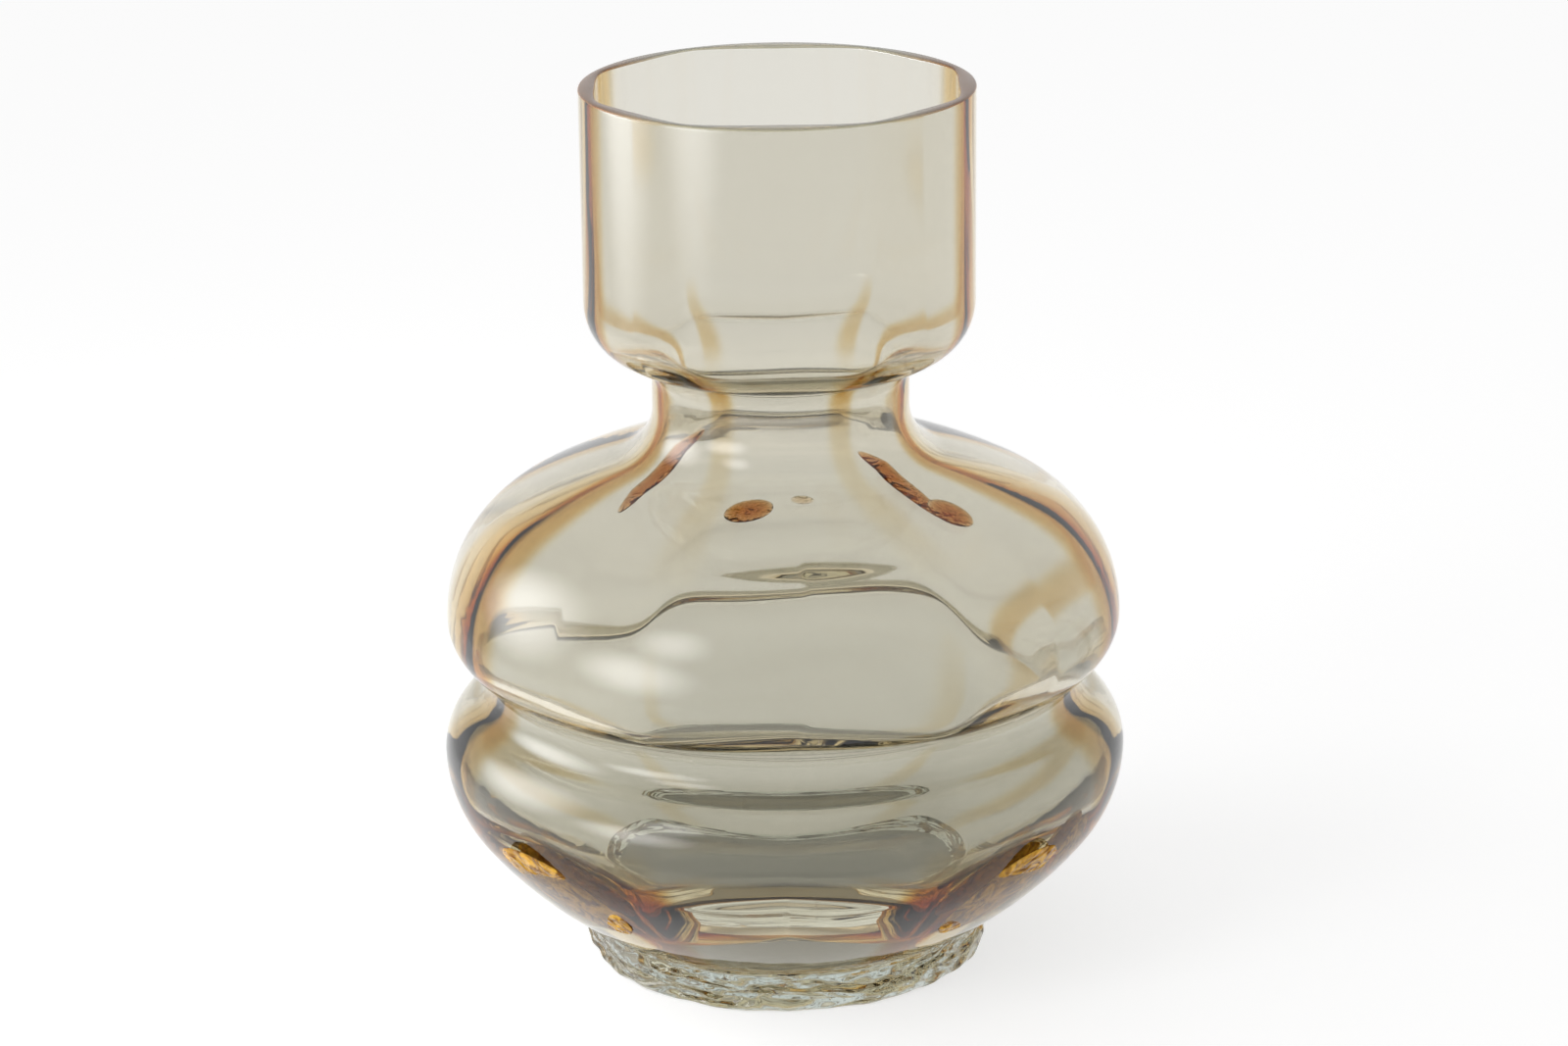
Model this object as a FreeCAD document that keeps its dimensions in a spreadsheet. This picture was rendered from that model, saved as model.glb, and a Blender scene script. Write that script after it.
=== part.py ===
import FreeCAD, Part
import math
import os

import Sketcher
from FreeCAD import Placement, Rotation, Vector

# A free-blown gourd vase: a cup-shaped collar on a narrow waist, over two round swells.
# The glass is two gathers fused together, a thin amber bubble inside a clear casing,
# on a thick clear foot. Inside, flat optic panels meet at ribs, where the wall is thinnest
# and the amber thickest. +Z is up, and the origin is the centre of the resting ring.
# The front, seen from -Y, is the middle of a wide optic panel. Lengths are in mm.

SIZES = {
    "vase_height": 200.0,
    # foot
    "foot_radius": 46.6,
    "foot_height": 10.0,
    "foot_edge": 2.0,
    "foot_ring_width": 7.0,
    "foot_hollow_depth": 0.8,
    # outline of the lower swell
    "lower_radius": 77.2,
    "lower_level": 48.7,
    "lower_base_curve": 87.6,
    "lower_side_curve": 26.9,
    "lower_shoulder_curve": 12.4,
    # outline of the upper swell
    "upper_radius": 75.9,
    "upper_level": 80.2,
    "upper_hip_curve": 10.5,
    "upper_side_curve": 30.7,
    "upper_crown_curve": 130.3,
    # the crease between the swells
    "crease_curve": 6.0,
    # outline of the waist and the collar
    "waist_radius": 28.7,
    "waist_low_level": 128.1,
    "waist_high_level": 133.7,
    "neck_curve": 11.9,
    "collar_under_curve": 5.7,
    "collar_corner_curve": 13.1,
    "collar_radius": 43.4,
    # glass thickness at the ribs, where it is thinnest
    "collar_wall": 2.0,
    "waist_wall": 2.4,
    "body_wall": 2.2,
    "base_wall": 7.2,
    "floor_level": 17.0,
    "floor_rib_radius": 38.5,
    # thickness of the amber at the ribs and at the middles of the panels
    "lining_rib_thickness": 1.0,
    "lining_panel_thickness": 0.3,
    # optic panels inside: the front and back ones are wider than the other six
    "wide_panel_angle": 56.0,
    # how far they are turned about the axis in the upper swell, against the rest
    "upper_panel_turn": 5.0,
    # how far the panels are flattened, from 0, round, to 1, flat
    "collar_flat_share": 0.65,
    "waist_flat_share": 0.2,
    "upper_flat_share": 0.5,
    "lower_flat_share": 0.15,
    "floor_flat_share": 0.85,
    # spacing of the sections that the panels pass through
    "section_spacing": 4.5,
}

PANEL_COUNT = 8
SAME_LEVEL = 1e-6
VOLUME_TOLERANCE = 1e-2

# A sketch numbers a curve's start, end and centre from 1 up, and its own two axes from -1 down
START, END, CENTRE = range(1, 4)
ACROSS_AXIS, UP_AXIS = range(-1, -3, -1)
ORIGIN = (ACROSS_AXIS, START)


class Sizes:
    """Reads a size back from the document's sheet by its name."""

    def __init__(self, sheet):
        self.sheet = sheet

    def __getattr__(self, alias):
        return float(self.sheet.get(alias))


def make_sheet(doc):
    sheet = doc.addObject("Spreadsheet::Sheet", "sizes")
    for row, (alias, value) in enumerate(SIZES.items(), start=1):
        sheet.set(f"A{row}", alias)
        sheet.set(f"B{row}", str(value))
        sheet.setAlias(f"B{row}", alias)
    doc.recompute()
    return sheet


# The outline: tangent arcs about centres that follow from the sizes


def circles_meet(centre_a, radius_a, centre_b, radius_b, side):
    """The point where two circles cross, to the left (1) or right (-1) of the line a to b."""
    line = centre_b - centre_a
    gap = line.Length
    along = (radius_a**2 - radius_b**2 + gap**2) / (2 * gap)
    across = math.sqrt(radius_a**2 - along**2)
    line.normalize()
    return centre_a + line * along + Vector(-line.y, line.x, 0) * (side * across)


def heading(centre, point):
    return math.atan2(point.y - centre.y, point.x - centre.x)


def arc_centres(size):
    """Centres of the outline's arcs, in radius and height, from the foot to the collar."""
    foot_corner = Vector(size.foot_radius, size.foot_height, 0)
    side = Vector(size.lower_radius - size.lower_side_curve, size.lower_level, 0)
    shoulder = Vector(size.lower_radius - size.lower_shoulder_curve, size.lower_level, 0)
    hip = Vector(size.upper_radius - size.upper_hip_curve, size.upper_level, 0)
    upper_side = Vector(size.upper_radius - size.upper_side_curve, size.upper_level, 0)
    neck = Vector(size.waist_radius + size.neck_curve, size.waist_low_level, 0)
    under = Vector(size.waist_radius + size.collar_under_curve, size.waist_high_level, 0)
    corner_x = size.collar_radius - size.collar_corner_curve
    corner_reach = size.collar_under_curve + size.collar_corner_curve
    corner_rise = math.sqrt(corner_reach**2 - (corner_x - under.x) ** 2)
    base_to_side = size.lower_base_curve - size.lower_side_curve
    shoulder_to_crease = size.lower_shoulder_curve + size.crease_curve
    hip_to_crease = size.upper_hip_curve + size.crease_curve
    neck_to_crown = size.neck_curve + size.upper_crown_curve
    side_to_crown = size.upper_crown_curve - size.upper_side_curve
    return {
        "base": circles_meet(foot_corner, size.lower_base_curve, side, base_to_side, 1),
        "side": side,
        "shoulder": shoulder,
        "crease": circles_meet(shoulder, shoulder_to_crease, hip, hip_to_crease, -1),
        "hip": hip,
        "upper_side": upper_side,
        "crown": circles_meet(neck, neck_to_crown, upper_side, side_to_crown, -1),
        "neck": neck,
        "under": under,
        "corner": Vector(corner_x, under.y + corner_rise, 0),
    }


def outline_arcs(size):
    """The outline from the foot up: name, centre, radius, start and end angle, hollow or not."""
    at = arc_centres(size)
    foot_corner = Vector(size.foot_radius, size.foot_height, 0)
    turn = 2 * math.pi
    base_start = heading(at["base"], foot_corner)
    base_end = heading(at["base"], at["side"])
    shoulder_end = heading(at["shoulder"], at["crease"])
    crease_end = heading(at["crease"], at["shoulder"]) % turn
    crease_start = heading(at["crease"], at["hip"]) % turn
    hip_start = heading(at["hip"], at["crease"])
    crown_start = heading(at["crown"], at["upper_side"])
    crown_end = heading(at["crown"], at["neck"])
    neck_end = heading(at["neck"], at["crown"]) % turn
    under_end = heading(at["under"], at["corner"])
    corner_start = heading(at["corner"], at["under"])
    return [
        ("base", at["base"], size.lower_base_curve, base_start, base_end, False),
        ("side", at["side"], size.lower_side_curve, base_end, 0.0, False),
        ("shoulder", at["shoulder"], size.lower_shoulder_curve, 0.0, shoulder_end, False),
        ("crease", at["crease"], size.crease_curve, crease_end, crease_start, True),
        ("hip", at["hip"], size.upper_hip_curve, hip_start, 0.0, False),
        ("upper_side", at["upper_side"], size.upper_side_curve, 0.0, crown_start, False),
        ("crown", at["crown"], size.upper_crown_curve, crown_start, crown_end, False),
        ("neck", at["neck"], size.neck_curve, neck_end, math.pi, True),
        ("under", at["under"], size.collar_under_curve, math.pi, under_end, True),
        ("corner", at["corner"], size.collar_corner_curve, corner_start, 0.0, False),
    ]


def point_on(centre, radius, angle):
    return Vector(centre.x + radius * math.cos(angle), centre.y + radius * math.sin(angle), 0)


# The outline as a list of places for the sections of the glass inside


def outline_stations(size):
    """Places up the outline, each with its outward normal, evenly spaced in every stretch."""
    arcs = outline_arcs(size)
    stations = []
    for name, centre, radius, start, end, hollow in arcs:
        if name == "under":
            waist_top = Vector(size.waist_radius, size.waist_high_level, 0)
            stations.extend(straight_stations(size, stations[-1]["place"], waist_top))
        count = max(2, math.ceil(radius * abs(end - start) / size.section_spacing))
        first = 0 if not stations else 1
        for step in range(first, count + 1):
            angle = start + (end - start) * step / count
            place = point_on(centre, radius, angle)
            away = (centre - place) if hollow else (place - centre)
            stations.append({"stretch": name, "place": place, "normal": away.normalize()})
    rim = Vector(size.collar_radius, size.vase_height, 0)
    stations.extend(straight_stations(size, stations[-1]["place"], rim))
    return stations


def straight_stations(size, start, end):
    count = max(1, math.ceil((end - start).Length / size.section_spacing))
    outward = Vector(1, 0, 0)
    return [
        {"stretch": "straight", "place": start + (end - start) * (step / count), "normal": outward}
        for step in range(1, count + 1)
    ]


def eased(share):
    """A smooth step from 0 to 1."""
    bounded = min(1.0, max(0.0, share))
    return bounded * bounded * (3 - 2 * bounded)


def between(start, end, share):
    return start + (end - start) * eased(share)


def wall_and_flatness(size, level):
    """Glass thickness at the ribs, and how flat the panels are, at a height on the outline."""
    if level < size.lower_level:
        rise = (level - size.foot_height) / (size.lower_level - size.foot_height)
        wall = between(size.base_wall, size.body_wall, rise)
        return wall, between(size.floor_flat_share, size.lower_flat_share, rise)
    if level < size.upper_level:
        rise = (level - size.lower_level) / (size.upper_level - size.lower_level)
        return size.body_wall, between(size.lower_flat_share, size.upper_flat_share, rise)
    if level < size.waist_high_level:
        rise = (level - size.upper_level) / (size.waist_low_level - size.upper_level)
        wall = between(size.body_wall, size.waist_wall, rise)
        return wall, between(size.upper_flat_share, size.waist_flat_share, rise)
    rise = level - size.waist_high_level
    wall = between(size.waist_wall, size.collar_wall, rise / size.collar_corner_curve)
    collar_height = size.vase_height - size.waist_high_level
    return wall, between(size.waist_flat_share, size.collar_flat_share, rise / collar_height)


def panel_turn(size, level):
    """How far the panels are turned at a height: only in the upper swell, and smoothly."""
    crease_level = (size.lower_level + size.upper_level) / 2
    full_level = (size.upper_level + size.waist_low_level) / 2
    turn_in = eased((level - crease_level) / (size.upper_level - crease_level))
    turn_out = eased((level - full_level) / (size.waist_low_level - full_level))
    return math.radians(size.upper_panel_turn) * (turn_in - turn_out)


def panel_angles(size):
    """Each panel's middle and half width about the axis; the first faces the front."""
    wide = math.radians(size.wide_panel_angle)
    narrow = (2 * math.pi - 2 * wide) / (PANEL_COUNT - 2)
    panels = []
    middle = -math.pi / 2
    for index in range(PANEL_COUNT):
        width = wide if index % (PANEL_COUNT // 2) == 0 else narrow
        following = wide if (index + 1) % (PANEL_COUNT // 2) == 0 else narrow
        panels.append((middle, width / 2))
        middle += (width + following) / 2
    return panels


def around(point, angle):
    return Vector(point.x * math.cos(angle), point.x * math.sin(angle), point.y)


def panel_ring(size, rib_point, inward, flatness, extra_depth, turn):
    """A closed ring of arcs through one rib place, each arc flattened towards its chord."""
    edges = []
    for middle, half in panel_angles(size):
        middle += turn
        depth = rib_point.x * (1 - math.cos(half)) * flatness + extra_depth
        edges.append(
            Part.Arc(
                around(rib_point, middle - half),
                around(rib_point + inward * depth, middle),
                around(rib_point, middle + half),
            ).toShape()
        )
    return Part.Wire(edges)


def bubble(size, rib_inset, panel_inset):
    """One smooth loft from floor to rim: the space inside, grown by the two insets.

    The insets are how far it reaches into the glass at the ribs and at the panels' middles.
    """
    extra_depth = rib_inset - panel_inset
    floor = Vector(size.floor_rib_radius + extra_depth, size.floor_level - panel_inset, 0)
    flat_inward = Vector(-1, 0, 0)
    floor_turn = panel_turn(size, size.floor_level)
    rings = [panel_ring(size, floor, flat_inward, size.floor_flat_share, extra_depth, floor_turn)]
    for station in outline_stations(size):
        level = station["place"].y
        wall, flatness = wall_and_flatness(size, level)
        inward = station["normal"] * -1
        rib_point = station["place"] + inward * (wall - rib_inset)
        turn = panel_turn(size, level)
        rings.append(panel_ring(size, rib_point, inward, flatness, extra_depth, turn))
    return Part.makeLoft(rings, True, False)


def rim_face(shape, size):
    """The flat face that closes a shape at the rim."""
    for face in shape.Faces:
        lowest, highest = face.BoundBox.ZMin, face.BoundBox.ZMax
        if abs(lowest - size.vase_height) < SAME_LEVEL and highest - lowest < SAME_LEVEL:
            return face
    raise RuntimeError("no flat face at the rim")


def glass_between(outer, inner, size):
    """The glass between two nested forms that share only the rim, closed there by one flat ring.

    The two surfaces never cross, so the ring joins their own edges and nothing is cut.
    """
    outer_lid = rim_face(outer, size)
    inner_lid = rim_face(inner, size)
    ring = Part.makeFace([outer_lid.OuterWire, inner_lid.OuterWire], "Part::FaceMakerBullseye")
    skins = [face for face in outer.Faces if not face.isSame(outer_lid)]
    skins += [face for face in inner.Faces if not face.isSame(inner_lid)]
    shell = Part.Shell(skins + [ring])
    shell.sewShape()
    return Part.Solid(shell)


def add_form(doc, name, shape):
    feature = doc.addObject("Part::Feature", name)
    feature.Shape = shape
    feature.Placement = Placement(Vector(0, 0, 0), Rotation())
    return feature


# Sketches that are turned about the axis


def origin_feature(body, role):
    return next(item for item in body.Origin.OriginFeatures if item.Role == role)


def upright_sketch(body, name):
    sketch = body.newObject("Sketcher::SketchObject", name)
    sketch.AttachmentSupport = [(origin_feature(body, "XZ_Plane"), "")]
    sketch.MapMode = "FlatFace"
    return sketch


def bind(sketch, name, constraint, alias):
    """Adds a constraint that takes its value from the sheet."""
    index = sketch.addConstraint(constraint)
    sketch.renameConstraint(index, name)
    sketch.setExpression(f"Constraints.{name}", f"sizes.{alias}")


def bind_point(sketch, name, geometry, end, radius_alias, level_alias):
    """Holds a point at a radius and a level that the sheet gives."""
    point = sketch.getPoint(geometry, end)
    across = Sketcher.Constraint("DistanceX", *ORIGIN, geometry, end, point.x)
    bind(sketch, f"{name}_radius", across, radius_alias)
    upward = Sketcher.Constraint("DistanceY", *ORIGIN, geometry, end, point.y)
    bind(sketch, f"{name}_level", upward, level_alias)


def turn_sketch(body, sketch, name):
    turned = body.newObject("PartDesign::Revolution", name)
    turned.Profile = sketch
    turned.ReferenceAxis = (sketch, ["V_Axis"])
    turned.Angle = 360.0
    sketch.Visibility = False
    return turned


CURVE_ALIASES = {
    "base": "lower_base_curve",
    "side": "lower_side_curve",
    "shoulder": "lower_shoulder_curve",
    "crease": "crease_curve",
    "hip": "upper_hip_curve",
    "upper_side": "upper_side_curve",
    "crown": "upper_crown_curve",
    "neck": "neck_curve",
    "under": "collar_under_curve",
    "corner": "collar_corner_curve",
}


def add_casing_blank(doc, size):
    """The outside of the vase above the foot, as a solid turned from the outline."""
    body = doc.addObject("PartDesign::Body", "casing_blank")
    sketch = upright_sketch(body, "vase_outline")
    upward = Vector(0, 0, 1)
    place = {}
    ends = {}
    for name, centre, radius, start, end, hollow in outline_arcs(size):
        circle = Part.Circle(centre, upward, radius)
        low, high = min(start, end), max(start, end)
        place[name] = sketch.addGeometry(Part.ArcOfCircle(circle, low, high), False)
        ends[name] = (START, END) if start < end else (END, START)
    waist_low = Vector(size.waist_radius, size.waist_low_level, 0)
    waist_high = Vector(size.waist_radius, size.waist_high_level, 0)
    corner_top = sketch.getPoint(place["corner"], ends["corner"][1])
    rim_edge = Vector(size.collar_radius, size.vase_height, 0)
    rim_centre = Vector(0, size.vase_height, 0)
    foot_centre = Vector(0, size.foot_height, 0)
    foot_edge = Vector(size.foot_radius, size.foot_height, 0)
    lines = {
        "waist": (waist_low, waist_high),
        "collar": (corner_top, rim_edge),
        "rim": (rim_edge, rim_centre),
        "axis": (rim_centre, foot_centre),
        "seat": (foot_centre, foot_edge),
    }
    for name, (start, end) in lines.items():
        place[name] = sketch.addGeometry(Part.LineSegment(start, end), False)
        ends[name] = (START, END)

    upward_order = list(CURVE_ALIASES)
    upward_order.insert(upward_order.index("under"), "waist")
    upward_order.append("collar")
    for lower, upper in zip(upward_order, upward_order[1:]):
        sketch.addConstraint(
            Sketcher.Constraint("Tangent", place[lower], ends[lower][1], place[upper], ends[upper][0])
        )
    for lower, upper in (("collar", "rim"), ("rim", "axis"), ("axis", "seat"), ("seat", "base")):
        sketch.addConstraint(
            Sketcher.Constraint("Coincident", place[lower], ends[lower][1], place[upper], ends[upper][0])
        )
    sketch.addConstraint(Sketcher.Constraint("Vertical", place["waist"]))
    sketch.addConstraint(Sketcher.Constraint("Horizontal", place["rim"]))
    sketch.addConstraint(Sketcher.Constraint("Vertical", place["collar"]))
    sketch.addConstraint(Sketcher.Constraint("Horizontal", place["seat"]))
    for end in (START, END):
        sketch.addConstraint(Sketcher.Constraint("PointOnObject", place["axis"], end, UP_AXIS))
    for name in ("side", "upper_side"):
        widest = ends[name][1] if name == "side" else ends[name][0]
        sketch.addConstraint(
            Sketcher.Constraint("Horizontal", place[name], CENTRE, place[name], widest)
        )
    for name, alias in CURVE_ALIASES.items():
        radius = next(arc[2] for arc in outline_arcs(size) if arc[0] == name)
        bind(sketch, f"{name}_curve", Sketcher.Constraint("Radius", place[name], radius), alias)
    bind_point(sketch, "lower", place["side"], ends["side"][1], "lower_radius", "lower_level")
    bind_point(sketch, "upper", place["upper_side"], ends["upper_side"][0], "upper_radius", "upper_level")
    bind_point(sketch, "foot", place["base"], ends["base"][0], "foot_radius", "foot_height")
    bind_point(sketch, "waist", place["waist"], START, "waist_radius", "waist_low_level")
    bind_point(sketch, "rim", place["collar"], END, "collar_radius", "vase_height")
    waist_top = Sketcher.Constraint("DistanceY", *ORIGIN, place["waist"], END, size.waist_high_level)
    bind(sketch, "waist_top", waist_top, "waist_high_level")
    turn_sketch(body, sketch, "turned_outline")
    return body


def add_foot(doc, size):
    """The clear foot: a thick disc with a softened lower edge, hollowed a little underneath."""
    body = doc.addObject("PartDesign::Body", "clear_foot")
    sketch = upright_sketch(body, "foot_outline")
    edge = size.foot_edge
    hollow_radius = size.foot_radius - edge - size.foot_ring_width
    hollow_top = Vector(0, size.foot_hollow_depth, 0)
    ring_inside = Vector(hollow_radius, 0, 0)
    ring_outside = Vector(size.foot_radius - edge, 0, 0)
    wall_bottom = Vector(size.foot_radius, edge, 0)
    wall_top = Vector(size.foot_radius, size.foot_height, 0)
    top_centre = Vector(0, size.foot_height, 0)

    upward = Vector(0, 0, 1)
    hollow_curve = (hollow_radius**2 + size.foot_hollow_depth**2) / (2 * size.foot_hollow_depth)
    hollow_centre = hollow_top - Vector(0, hollow_curve, 0)
    hollow_circle = Part.Circle(hollow_centre, upward, hollow_curve)
    hollow_start = heading(hollow_centre, ring_inside)
    hollow = sketch.addGeometry(Part.ArcOfCircle(hollow_circle, hollow_start, math.pi / 2), False)
    ring = sketch.addGeometry(Part.LineSegment(ring_inside, ring_outside), False)
    edge_circle = Part.Circle(Vector(ring_outside.x, wall_bottom.y, 0), upward, edge)
    rounding = sketch.addGeometry(Part.ArcOfCircle(edge_circle, -math.pi / 2, 0.0), False)
    wall = sketch.addGeometry(Part.LineSegment(wall_bottom, wall_top), False)
    top = sketch.addGeometry(Part.LineSegment(wall_top, top_centre), False)
    axis = sketch.addGeometry(Part.LineSegment(top_centre, hollow_top), False)

    sketch.addConstraint(
        [
            Sketcher.Constraint("Coincident", hollow, START, ring, START),
            Sketcher.Constraint("Tangent", ring, END, rounding, START),
            Sketcher.Constraint("Tangent", rounding, END, wall, START),
            Sketcher.Constraint("Coincident", wall, END, top, START),
            Sketcher.Constraint("Coincident", top, END, axis, START),
            Sketcher.Constraint("Coincident", axis, END, hollow, END),
            Sketcher.Constraint("PointOnObject", ring, START, ACROSS_AXIS),
            Sketcher.Constraint("Horizontal", ring),
            Sketcher.Constraint("Horizontal", top),
            Sketcher.Constraint("PointOnObject", axis, START, UP_AXIS),
            Sketcher.Constraint("PointOnObject", axis, END, UP_AXIS),
            Sketcher.Constraint("PointOnObject", hollow, CENTRE, UP_AXIS),
        ]
    )
    bind(sketch, "edge_curve", Sketcher.Constraint("Radius", rounding, edge), "foot_edge")
    ring_width = Sketcher.Constraint("DistanceX", ring, START, ring, END, size.foot_ring_width)
    bind(sketch, "ring_width", ring_width, "foot_ring_width")
    hollow_depth = Sketcher.Constraint("DistanceY", *ORIGIN, hollow, END, size.foot_hollow_depth)
    bind(sketch, "hollow_depth", hollow_depth, "foot_hollow_depth")
    bind_point(sketch, "top_edge", wall, END, "foot_radius", "foot_height")
    turn_sketch(body, sketch, "turned_foot")
    return body


def build():
    doc = FreeCAD.newDocument("gourd_vase")
    size = Sizes(make_sheet(doc))

    foot = add_foot(doc, size)
    blank = add_casing_blank(doc, size)
    doc.recompute()
    hollow = add_form(doc, "inside_space", bubble(size, 0, 0))
    grown = bubble(size, size.lining_rib_thickness, size.lining_panel_thickness)
    gather = add_form(doc, "amber_gather", grown)
    casing = add_form(doc, "clear_casing", glass_between(blank.Shape, gather.Shape, size))
    lining = add_form(doc, "amber_lining", glass_between(gather.Shape, hollow.Shape, size))

    sub_parts = [lining, casing, foot]
    for sub_part in sub_parts:
        sub_part.Label = sub_part.Name
        sub_part.Placement = Placement(Vector(0, 0, 0), Rotation())
    doc.recompute()
    return doc, sub_parts, {"blank": blank, "gather": gather, "hollow": hollow}


def check(doc, sub_parts, forms):
    """Stops on a failed feature, a bad solid, or glass that isn't what its two forms leave."""
    for item in doc.Objects:
        if "Invalid" in item.State or "Error" in item.State:
            raise RuntimeError(f"{item.Name} failed: {item.State}")
    for sub_part in sub_parts:
        shape = sub_part.Shape
        if shape.isNull() or not shape.isValid() or len(shape.Solids) != 1:
            raise RuntimeError(f"{sub_part.Label} is not one good solid")
    lining, casing, _ = sub_parts
    glass = casing.Shape.Volume + lining.Shape.Volume
    expected = forms["blank"].Shape.Volume - forms["hollow"].Shape.Volume
    if not math.isclose(glass, expected, rel_tol=VOLUME_TOLERANCE):
        raise RuntimeError(f"the glass holds {glass:.0f} mm3, not {expected:.0f}")


def write(sub_parts):
    os.makedirs("parts", exist_ok=True)
    for sub_part in sub_parts:
        sub_part.Shape.exportStep(os.path.join("parts", sub_part.Label + ".step"))
        box = sub_part.Shape.optimalBoundingBox()
        print(
            f"{sub_part.Label}: {sub_part.Shape.Volume:.0f} mm3,"
            f" {box.XLength:.2f} x {box.YLength:.2f} x {box.ZLength:.2f} mm"
        )


document, vase_parts, vase_forms = build()
check(document, vase_parts, vase_forms)
write(vase_parts)
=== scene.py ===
import math
from collections import namedtuple
from functools import cache
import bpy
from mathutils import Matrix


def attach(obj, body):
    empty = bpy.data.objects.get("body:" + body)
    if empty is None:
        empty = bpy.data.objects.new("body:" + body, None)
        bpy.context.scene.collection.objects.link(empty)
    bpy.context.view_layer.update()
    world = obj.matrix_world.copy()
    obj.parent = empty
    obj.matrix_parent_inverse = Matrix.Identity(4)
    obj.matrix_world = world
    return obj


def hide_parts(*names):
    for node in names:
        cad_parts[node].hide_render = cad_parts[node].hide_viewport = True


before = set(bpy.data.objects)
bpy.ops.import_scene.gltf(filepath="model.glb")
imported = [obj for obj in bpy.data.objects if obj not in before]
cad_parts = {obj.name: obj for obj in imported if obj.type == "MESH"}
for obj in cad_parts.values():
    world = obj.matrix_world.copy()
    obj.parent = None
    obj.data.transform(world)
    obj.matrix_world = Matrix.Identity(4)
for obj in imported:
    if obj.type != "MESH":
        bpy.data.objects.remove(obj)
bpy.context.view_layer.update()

from types import SimpleNamespace

import bpy
import numpy as np
from mathutils import Matrix, Vector

# A free-blown gourd vase, built in the imported model's frame, in metres.
# The outline, the optic panels and the glass thickness repeat the part's own named sizes, so the
# surfaces lie where the solids have them, but for the ripples in the glass, the foot's folds and
# the amber, which is shared between the ribs and is thinner at the panels.

MM = 0.001

SIZE = SimpleNamespace(
    vase_height=200.0 * MM,
    foot_radius=46.6 * MM,
    foot_height=10.0 * MM,
    foot_edge=2.0 * MM,
    foot_ring_width=7.0 * MM,
    foot_hollow_depth=0.8 * MM,
    lower_radius=77.2 * MM,
    lower_level=48.7 * MM,
    lower_base_curve=87.6 * MM,
    lower_side_curve=26.9 * MM,
    lower_shoulder_curve=12.4 * MM,
    upper_radius=75.9 * MM,
    upper_level=80.2 * MM,
    upper_hip_curve=10.5 * MM,
    upper_side_curve=30.7 * MM,
    upper_crown_curve=130.3 * MM,
    crease_curve=6.0 * MM,
    waist_radius=28.7 * MM,
    waist_low_level=128.1 * MM,
    waist_high_level=133.7 * MM,
    neck_curve=11.9 * MM,
    collar_under_curve=5.7 * MM,
    collar_corner_curve=13.1 * MM,
    collar_radius=43.4 * MM,
    collar_wall=2.0 * MM,
    waist_wall=2.4 * MM,
    body_wall=2.2 * MM,
    base_wall=7.2 * MM,
    floor_level=17.0 * MM,
    floor_rib_radius=38.5 * MM,
    lining_rib_thickness=1.0 * MM,
    wide_panel_angle=math.radians(56.0),
    upper_panel_turn=math.radians(5.0),
    collar_flat_share=0.65,
    waist_flat_share=0.20,
    upper_flat_share=0.50,
    lower_flat_share=0.15,
    floor_flat_share=0.85,
)

PANEL_COUNT = 8
# the ribs between the panels are rounded over this share of a panel's half width
RIB_SOFTNESS = 0.18
# the fused pieces are kept this far apart, so that no two faces lie in one place
FUSED_GAP = 0.02 * MM
# the outer skin lies this far inside the outline, so that it stays in the solids' box
SKIN_INSET = 0.05 * MM
RIM_BEVEL = 0.35 * MM
# the bevel's middle row lies this share of it from the skin and from the top
RIM_BEVEL_SHARE = 0.3
# the lining ends this far below the rim
LINING_RIM_GAP = 0.1 * MM
# the lining's inner face lies this share of its thickness inside the glass
LINING_COVER_SHARE = 0.03
# where the inside wall comes down to the floor
FLOOR_ROUNDING = 7.0 * MM
RIPPLE_DEPTH = 0.35 * MM
FOOT_DENT = 2.0 * MM
# the foot's folds fade out over this share of its height, at the top
FOOT_CALM_SHARE = 0.2

ROW_SPACING = 0.9 * MM
AROUND = 480
ANGLES = np.arange(AROUND) * (2 * math.pi / AROUND)
FLOOR_ROWS = 24
CORNER_ROWS = 12
FUSED_ROWS = 12
UNDERSIDE_ROWS = 16
FOOT_EDGE_ROWS = 8
FOOT_SIDE_ROWS = 8
# rings go in to this share of a disc's radius, and a point closes them
CENTRE_SHARE = 0.04
BEAD_RINGS = 12
BEAD_SIDES = 24

# The amber gathers in some ribs more than in others. Each pair of ribs, from the front pair to
# the back one, has a share of the full rib thickness at each place up the vase: the floor, the
# lower swell, the crease, the upper swell, its crown, the waist, the collar's underside, its
# corner and the rim.
FRONT, FRONT_SIDE, BACK_SIDE, BACK = range(4)
AMBER_SHARES = {
    FRONT: (1.0, 0.0, 0.0, 0.0, 0.0, 0.3, 0.9, 0.0, 0.0),
    FRONT_SIDE: (0.3, 0.4, 1.0, 1.0, 1.0, 1.0, 1.0, 1.0, 1.0),
    BACK_SIDE: (0.3, 0.4, 0.7, 0.5, 0.6, 0.8, 0.8, 0.5, 0.6),
    BACK: (0.3, 0.0, 0.0, 0.0, 0.0, 0.1, 0.6, 0.0, 0.0),
}
AMBER_PANEL_SHARE = 0.08
AMBER_RIB_WIDTH = math.radians(5.5)

# A wave over a skin: how often it comes on the way round and on the way up, where it starts,
# and its size against the others.
Wave = namedtuple("Wave", "around up start size")
RIPPLES = (
    Wave(3, 2.3, 0.7, 1.0),
    Wave(5, -3.1, 2.1, 1.0),
    Wave(7, 4.7, 4.0, 1.0),
    Wave(2, -6.3, 1.3, 1.0),
)
FOOT_FOLDS = (
    Wave(4, 0.6, 0.4, 1.0),
    Wave(9, -0.9, 2.2, 1.0),
    Wave(17, 1.3, 5.1, 0.8),
    Wave(31, -1.7, 3.3, 0.6),
    Wave(2, 2.0, 1.0, 0.5),
)

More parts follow.
